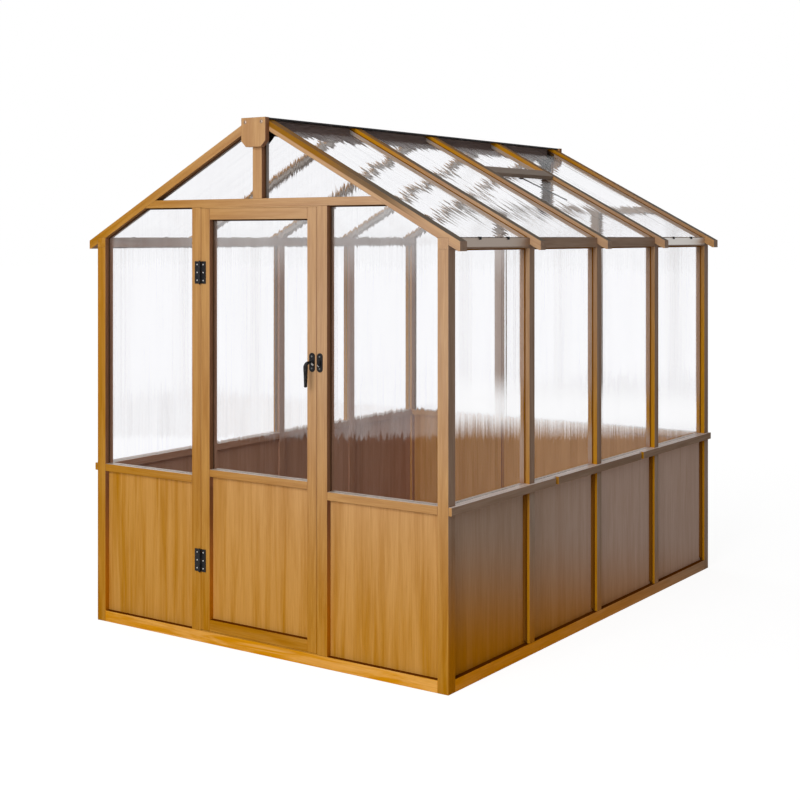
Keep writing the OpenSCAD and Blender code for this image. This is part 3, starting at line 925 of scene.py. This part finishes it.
# ---------------------------------------------------------------------------------------------
# The roof sheets: a lighter plastic with broader, deeper flutes, which run down the slope. Like
# those of the side walls, they lie calmer towards the back.

ROOF_FLUTE = 0.034
ROOF_FLUTE_DEPTH = 0.0005
ROOF_BEND = 1.05
ROOF_STREAKS = (1.2, 72.0, 1.2)
ROOF_LEAN = 0.11

roof_plastic = clear_sheet("roof_sheet_plastic", ROOF_STREAKS, ROOF_LEAN, ALONG_X, dewy=False, bend=ROOF_BEND)
for node in ("left_roof_sheets", "right_roof_sheets"):
    flute(node, "greenhouse", roof_plastic, ALONG_Y, ROOF_FLUTE, ROOF_FLUTE_DEPTH)


# ---------------------------------------------------------------------------------------------
# The glazing beads: stained slips pinned along the top and sides of each wall sheet, which hold
# it in its opening; on the roof they run down the rafters only. Their dark stain is painted shade,
# the shadow line where a sheet meets the frame. Deeper dark ones stand at the sides of the long
# walls' boards as painted shade of their recesses; those on the left and back walls and the left
# slope are paler.

BEAD_WIDTH = 0.006
BEAD_HEIGHT = 0.003
BOARD_BEAD_HEIGHT = 0.011
BOARD_BEAD_WIDTH = 0.016
# The dark bead stains are painted shade: the shadow line where a sheet meets the frame.
BEAD_PAINTED_SHADE = ((0.190, 0.066, 0.003, 1), (0.290, 0.120, 0.014, 1))
DARK_BEAD_PAINTED_SHADE = ((0.050, 0.024, 0.012, 1), (0.090, 0.045, 0.024, 1))
PALE_BEAD_STAIN = ((0.380, 0.310, 0.265, 1), (0.500, 0.420, 0.365, 1))
BEAD_ROUGHNESS = 0.5
SAME_WAY = 0.999


def bead_stain(name, stain):
    """The stain of a bead, which has only its own grain; on the dark beads it is painted shade."""
    material, tree = empty_material(name)
    varnished(tree, mixed(tree, figure(tree, BROAD_GRAIN), *stain), BEAD_ROUGHNESS)
    return material


side_slip = bead_stain("side_bead_painted_shade", BEAD_PAINTED_SHADE)
far_slip = bead_stain("far_bead_stain", PALE_BEAD_STAIN)
end_slip = bead_stain("end_bead_painted_shade", DARK_BEAD_PAINTED_SHADE)


def bead(node, body, out, slip, height=BEAD_HEIGHT, width=BEAD_WIDTH, uprights_only=False):
    """A slip along the sides and top of each sheet of a node; out is the way its outer face looks."""
    bm = copy_of(node)
    facing = [face for face in bm.faces if face.normal.dot(out) > SAME_WAY]
    panes = [face for face in facing if face.calc_center_median().dot(out) > 0]
    others = [face for face in bm.faces if face not in set(panes)]
    bmesh.ops.delete(bm, geom=others, context="FACES")
    feet = {min(vert.co.z for vert in face.verts) for face in panes}
    rims = bmesh.ops.inset_individual(bm, faces=panes, thickness=width, use_even_offset=True)["faces"]
    unwanted = list(panes)
    for face in rims:
        heights = [vert.co.z for vert in face.verts]
        reach = max(vert.co.y for vert in face.verts) - min(vert.co.y for vert in face.verts)
        level = max(heights) - min(heights) < 2 * width
        at_foot = level and min(abs(min(heights) - foot) for foot in feet) < width
        if at_foot or (uprights_only and reach > 2 * width):
            unwanted.append(face)
    bmesh.ops.delete(bm, geom=unwanted, context="FACES")
    raised = bmesh.ops.extrude_face_region(bm, geom=bm.faces[:], use_keep_orig=True)["geom"]
    tops = [part for part in raised if isinstance(part, bmesh.types.BMVert)]
    bmesh.ops.translate(bm, vec=out * height, verts=tops)
    bmesh.ops.recalc_face_normals(bm, faces=bm.faces)
    lay_grain(bm)
    piece = piece_from(bm, "beads_" + node, slip)
    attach(piece, body)
    return piece


for node, out, slip in (
    ("left_glazing", -ALONG_X, far_slip),
    ("right_glazing", ALONG_X, side_slip),
    ("back_glazing", ALONG_Y, far_slip),
    ("front_glazing", -ALONG_Y, end_slip),
    ("gable_glazing", -ALONG_Y, end_slip),
):
    bead(node, "greenhouse", out, slip)
for node, out in (("left_panels", -ALONG_X), ("right_panels", ALONG_X)):
    bead(node, "greenhouse", out, side_slip, BOARD_BEAD_HEIGHT, BOARD_BEAD_WIDTH, uprights_only=True)
for node, side, slip in (("left_roof_sheets", -1, far_slip), ("right_roof_sheets", 1, side_slip)):
    bead(node, "greenhouse", Vector((side * SLOPE_OUT.x, 0, SLOPE_OUT.z)), slip, uprights_only=True)


# ---------------------------------------------------------------------------------------------
# The eaves of the end bays: a thin aluminium strip on the face of the top rail closes the open
# ends of the roof sheet, and two small black hooks hold the sheet's foot.

CLOSER = Vector((0.0015, 0.0, 0.034))
CLOSER_DROP = 0.0015
CLIP = Vector((0.014, 0.009, 0.012))
CLIP_RISE = 0.004
CLIP_SHARES = (0.31, 0.69)
CLIP_ARRIS = 0.0015
DRAWN_GRAIN = (400.0, 3.0, 900.0)
CLOSER_NEAR = ((0.26, 0.215, 0.18, 1), (0.40, 0.33, 0.28, 1))
CLOSER_FAR = ((0.50, 0.47, 0.44, 1), (0.62, 0.59, 0.56, 1))
CLOSER_TURN = (-0.6, 0.6)
DRAWN_ROUGHNESS = (0.35, 0.5)

brushed, tree = empty_material("brushed_aluminium")
_, back, _ = axes_of(tree, "Object")
grain_at = mapped(tree, node_of(tree, "TexCoord", out=3), DRAWN_GRAIN)
drawn = node_of(tree, "TexNoise", Vector=grain_at, Scale=1.0)
near, far = (mixed(tree, drawn, *tints) for tints in (CLOSER_NEAR, CLOSER_FAR))
tint = mixed(tree, graded(tree, back, *CLOSER_TURN), near, far)
dull = graded(tree, drawn, *CLOUD_BAND, *DRAWN_ROUGHNESS)
surface(tree, node_of(tree, "BsdfPrincipled", Base_Color=tint, Roughness=dull, Metallic=1.0))


def blocks(name, body, material, sizes_and_places, arris):
    """Plain blocks with eased edges, as one piece."""
    bm = bmesh.new()
    for size, place in sizes_and_places:
        made = bmesh.ops.create_cube(bm, size=1)["verts"]
        bmesh.ops.scale(bm, vec=size, verts=made)
        bmesh.ops.translate(bm, vec=place, verts=made)
    if arris:
        ease(bm, arris)
    lay_grain(bm)
    piece = piece_from(bm, name, material)
    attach(piece, body)
    return piece


low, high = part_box("right_top_rail")
bay_low, bay_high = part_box("right_glazing")
stud_low, stud_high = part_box("right_studs")
end_bays = ((bay_low.y, stud_low.y), (stud_high.y, bay_high.y))
strips, clips = [], []
for side in (-1, 1):
    for start, end in end_bays:
        size = Vector((CLOSER.x, end - start, CLOSER.z))
        height = high.z - CLOSER_DROP - CLOSER.z / 2
        strips.append((size, Vector((side * (high.x + CLOSER.x / 2), (start + end) / 2, height))))
        for share in CLIP_SHARES:
            place = Vector((side * high.x, start + share * (end - start), high.z + CLIP_RISE - CLIP.z / 2))
            clips.append((CLIP, place))
blocks("eave_strips", "greenhouse", brushed, strips, 0)
blocks("eave_clips", "greenhouse", black_metal, clips, CLIP_ARRIS)


# ---------------------------------------------------------------------------------------------
# The roof vent, shut: a flat weathered rail across the bay, with a fluted sheet of its own above
# it, and below it the black stay that props it open.

WEATHERED = ((0.220, 0.160, 0.120, 1), (0.360, 0.285, 0.230, 1))
WEATHERED_SHEEN = 0.2

weathered, tree = empty_material("weathered_timber")
varnished(tree, mixed(tree, figure(tree, BROAD_GRAIN), *WEATHERED), VARNISH_ROUGHNESS, WEATHERED_SHEEN)
dress("vent_rail", "greenhouse", weathered)
flute("vent_sheet", "greenhouse", roof_plastic, ALONG_Y, ROOF_FLUTE, ROOF_FLUTE_DEPTH)
dress("vent_stay", "greenhouse", black_metal, CAP_ARRIS)


# ---------------------------------------------------------------------------------------------
# The door: stiles and rails of the same wood, framed up round a board below and a clear sheet
# above, and hung on the left-hand jamb. The sheet is beaded in like those of the walls.

for node in ("door_stiles", "door_rails"):
    dress(node, "door", timber)
dress("door_panel", "door", boarding, PANEL_ARRIS)
flute("door_glazing", "door", wall_plastic, ALONG_X, WALL_FLUTE, WALL_FLUTE_DEPTH)
bead("door_glazing", "door", -ALONG_Y, end_slip)


# ---------------------------------------------------------------------------------------------
# The draught strips: thin slips of the same wood round the doorway, planted on its edges just
# behind the face, so that little of the gap round the door shows. The one on the lock side is
# splayed, to let the door's back corner swing past.

STRIP = 0.0045
STRIP_NOSE = 0.0023
STRIP_HEEL = 0.0035
STRIP_BACK = 0.0008
STRIP_DEPTH = 0.030
DOOR_GAP = 0.005
NOSING_THICK = 0.0015
NOSING_DEPTH = 0.010

low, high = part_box("door_stiles")
front = low.y + STRIP_BACK
left, right = low.x - DOOR_GAP, high.x + DOOR_GAP
sill, head = low.z - DOOR_GAP, high.z + DOOR_GAP
middle_y, middle_z = front + STRIP_DEPTH / 2, (sill + head) / 2
wide, tall = right - left, head - sill
slips = [
    (Vector((STRIP, STRIP_DEPTH, tall)), Vector((left + STRIP / 2, middle_y, middle_z))),
    (Vector((wide, STRIP_DEPTH, STRIP)), Vector((0, middle_y, head - STRIP / 2))),
    (Vector((wide, STRIP_DEPTH, STRIP)), Vector((0, middle_y, sill + STRIP / 2))),
]
blocks("draught_strips", "greenhouse", timber, slips, 0)

bm = bmesh.new()
bmesh.ops.create_cube(bm, size=1)
bmesh.ops.scale(bm, vec=(1, STRIP_DEPTH, tall - 2 * STRIP), verts=bm.verts)
bmesh.ops.translate(bm, vec=(0, middle_y, middle_z), verts=bm.verts)
for vert in bm.verts:
    thick = STRIP_NOSE if vert.co.y < middle_y else STRIP_HEEL
    vert.co.x = right - thick if vert.co.x < 0 else right
bmesh.ops.recalc_face_normals(bm, faces=bm.faces)
lay_grain(bm)
splayed = piece_from(bm, "draught_strip_lock_side", timber)
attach(splayed, "greenhouse")

nosing = Vector((NOSING_THICK, NOSING_DEPTH, tall - 3 * STRIP))
nosing_place = Vector((high.x + nosing.x / 2, front + nosing.y / 2, middle_z))
blocks("door_nosing", "door", timber, [(nosing, nosing_place)], 0)


# ---------------------------------------------------------------------------------------------
# The hinges: powder-coated black leaves that turn on a pin, planted on the faces of the door and
# the jamb, with each leaf held by three plated screws.

FITTING_ARRIS = 0.0006
SCREW_HEAD = ((0, 0.0006), (0.0012, 0.0006), (0.0016, 0.0014), (0.0028, 0.0010), (0.0034, 0))
HINGE_SCREW_OUT = 0.0165
HINGE_SCREW_ROWS = (-0.033, 0.0, 0.033)
HINGE_THICK = 0.003
HINGE_TALL = 0.093
PLATED = ((0.42, 0.41, 0.40, 1), (0.66, 0.65, 0.63, 1))

plated = plate_metal("plated_steel", *PLATED)
dress("frame_hinges", "greenhouse", black_metal, FITTING_ARRIS)
dress("door_hinges", "door", black_metal, FITTING_ARRIS)
frame_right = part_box("frame_hinges")[1].x
door_low, door_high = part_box("door_hinges")
pin_x = (frame_right + door_low.x) / 2
hinge_zs = (door_low.z + HINGE_TALL / 2, door_high.z - HINGE_TALL / 2)
screw_zs = [middle + row for middle in hinge_zs for row in HINGE_SCREW_ROWS]
for name, body, side in (("frame_hinge_screws", "greenhouse", -1), ("door_hinge_screws", "door", 1)):
    screw_x = pin_x + side * HINGE_SCREW_OUT
    places = [Vector((screw_x, door_high.y - HINGE_THICK, z)) for z in screw_zs]
    heads(name, body, SCREW_HEAD, places, plated)


# ---------------------------------------------------------------------------------------------
# The latch: a black plate on the door and a keeper on the jamb, cast with round ends, each held
# by two screws. The keeper has a raised lip, with a plated catch beside it.

PLATE_ARRIS = 0.0014
PLATE_SIDES = 32
PLATE_SCREW_RISE = 0.0235
KEEPER_LIP = Vector((0.010, 0.005, 0.022))
CATCH = Vector((0.0105, 0.003, 0.005))
CATCH_SLOPE = math.radians(34)
CATCH_DROP = 0.012
DULLED = ((0.12, 0.13, 0.13, 1), (0.27, 0.28, 0.28, 1))


def latch_plate(node):
    """The round-ended plate of a latch node, its front rim eased, and the middle of its face."""
    low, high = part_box(node)
    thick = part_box("handle_plate")[1].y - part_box("handle_plate")[0].y
    radius = (high.x - low.x) / 2
    middle = Vector(((low.x + high.x) / 2, high.y, (low.z + high.z) / 2))
    bm = bmesh.new()
    bmesh.ops.create_circle(bm, cap_ends=True, radius=radius, segments=PLATE_SIDES)
    bmesh.ops.rotate(bm, verts=bm.verts, cent=(0, 0, 0), matrix=Matrix.Rotation(math.radians(90), 3, "X"))
    for vert in bm.verts:
        vert.co.z += math.copysign((high.z - low.z) / 2 - radius, vert.co.z)
    raised = bmesh.ops.extrude_face_region(bm, geom=bm.faces[:], use_keep_orig=True)["geom"]
    fronts = [part for part in raised if isinstance(part, bmesh.types.BMVert)]
    bmesh.ops.translate(bm, vec=(0, -thick, 0), verts=fronts)
    bmesh.ops.recalc_face_normals(bm, faces=bm.faces)
    rim = [edge for edge in bm.edges if all(vert.co.y < -thick / 2 for vert in edge.verts)]
    ease(bm, PLATE_ARRIS, rim, 3)
    bmesh.ops.translate(bm, vec=middle, verts=bm.verts)
    return bm, middle - Vector((0, thick, 0))


dulled = plate_metal("dulled_steel", *DULLED)
bm, plate_middle = latch_plate("handle_plate")
plate = piece_from(bm, "latch_plate", black_metal)
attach(plate, "door")
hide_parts("handle_plate")

bm, keeper_middle = latch_plate("latch_keeper")
lip = bmesh.ops.create_cube(bm, size=1)["verts"]
bmesh.ops.scale(bm, vec=KEEPER_LIP, verts=lip)
bmesh.ops.translate(bm, vec=keeper_middle - Vector((0, KEEPER_LIP.y / 2, 0)), verts=lip)
keeper = piece_from(bm, "keeper_plate", black_metal)
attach(keeper, "greenhouse")
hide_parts("latch_keeper")

for name, body, middle in (
    ("latch_plate_screws", "door", plate_middle),
    ("keeper_screws", "greenhouse", keeper_middle),
):
    places = [middle + Vector((0, 0, side * PLATE_SCREW_RISE)) for side in (-1, 1)]
    heads(name, body, SCREW_HEAD, places, dulled)


def sloping_bar(size, slope, start, place):
    """A small bar with eased edges, laid from its start and turned to slope down to the right."""
    bm = bmesh.new()
    bmesh.ops.create_cube(bm, size=1)
    bmesh.ops.scale(bm, vec=size, verts=bm.verts)
    bmesh.ops.translate(bm, vec=(start, 0, 0), verts=bm.verts)
    bmesh.ops.rotate(bm, verts=bm.verts, cent=(0, 0, 0), matrix=Matrix.Rotation(slope, 3, "Y"))
    bmesh.ops.translate(bm, vec=place, verts=bm.verts)
    ease(bm, FITTING_ARRIS)
    return bm


catch_place = keeper_middle + Vector((-CATCH.x / 2, -KEEPER_LIP.y + CATCH.y, -CATCH_DROP))
catch = piece_from(sloping_bar(CATCH, CATCH_SLOPE, 0, catch_place), "keeper_catch", plated)
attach(catch, "greenhouse")


# ---------------------------------------------------------------------------------------------
# The lever: a cast black arm that comes out from its boss on the plate, turns down, swells into
# a grip and tapers to its foot, with a plated tongue that reaches behind the keeper's lip.

LEVER_SIDES = 20
NECK_RADIUS = 0.0062
GRIP_RADIUS = 0.0092
FOOT_RADIUS = 0.0062
PLATE_THICK = 0.004
OFF_PLATE = 0.0004
BEND_RADIUS = 0.016
BEND_STEPS = 8
GRIP_STEPS = 8
TIP_STEPS = ((0.002, 0.80), (0.001, 0.55))
TONGUE = Vector((0.0185, 0.004, 0.0060))
TONGUE_SLOPE = CATCH_SLOPE
TONGUE_OUT = 0.0085
BOSS = ((0, 0.0098), (0.0070, 0.0098), (0.0092, 0.0080), (0.0100, 0.0045), (0.0100, 0.0043))

plate_low, plate_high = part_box("handle_plate")
lever_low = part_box("lever")[0]
spindle = Vector(((plate_low.x + plate_high.x) / 2, plate_high.y, (plate_low.z + plate_high.z) / 2))
grip_y = lever_low.y + GRIP_RADIUS
bend_at = Vector((spindle.x, grip_y + BEND_RADIUS, spindle.z - BEND_RADIUS))

bm = bmesh.new()
bmesh.ops.create_circle(bm, cap_ends=True, radius=NECK_RADIUS, segments=LEVER_SIDES)
bmesh.ops.rotate(bm, verts=bm.verts, cent=(0, 0, 0), matrix=Matrix.Rotation(math.radians(90), 3, "X"))
bmesh.ops.translate(bm, vec=spindle - ALONG_Y * (PLATE_THICK + OFF_PLATE), verts=bm.verts)
cap = bm.faces[:]


def grow(bm, cap, shift, growth, turn=0.0, about=None):
    """Extrudes the open end of a bar, moves or turns the new end, and changes its thickness."""
    grown = bmesh.ops.extrude_face_region(bm, geom=cap)["geom"]
    verts = [part for part in grown if isinstance(part, bmesh.types.BMVert)]
    if about is not None:
        bmesh.ops.rotate(bm, verts=verts, cent=about, matrix=Matrix.Rotation(turn, 3, "X"))
    bmesh.ops.translate(bm, vec=shift, verts=verts)
    centre = sum((vert.co for vert in verts), Vector()) / len(verts)
    bmesh.ops.scale(bm, vec=(growth, growth, growth), verts=verts, space=Matrix.Translation(-centre))
    return [part for part in grown if isinstance(part, bmesh.types.BMFace)]


cap = grow(bm, cap, -ALONG_Y * (spindle.y - PLATE_THICK - OFF_PLATE - bend_at.y), 1.0)
swell = (GRIP_RADIUS / NECK_RADIUS) ** (1 / BEND_STEPS)
for _ in range(BEND_STEPS):
    cap = grow(bm, cap, Vector(), swell, math.radians(90) / BEND_STEPS, bend_at)
grip_length = spindle.z - BEND_RADIUS - lever_low.z
taper = (FOOT_RADIUS / GRIP_RADIUS) ** (1 / GRIP_STEPS)
tip_length = sum(length for length, _ in TIP_STEPS)
for _ in range(GRIP_STEPS):
    cap = grow(bm, cap, -ALONG_Z * (grip_length - tip_length) / GRIP_STEPS, taper)
for length, growth in TIP_STEPS:
    cap = grow(bm, cap, -ALONG_Z * length, growth)
bmesh.ops.recalc_face_normals(bm, faces=bm.faces)
for face in bm.faces:
    face.smooth = True
grip = piece_from(bm, "lever_arm", black_metal)
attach(grip, "door_lever")
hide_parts("lever")
heads("lever_boss", "door_lever", BOSS, [spindle], black_metal)

tongue_place = spindle - ALONG_Y * (PLATE_THICK + TONGUE_OUT)
bm = sloping_bar(TONGUE, TONGUE_SLOPE, TONGUE.x / 2, tongue_place)
tongue = piece_from(bm, "lever_tongue", plated)
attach(tongue, "door_lever")

low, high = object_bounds()
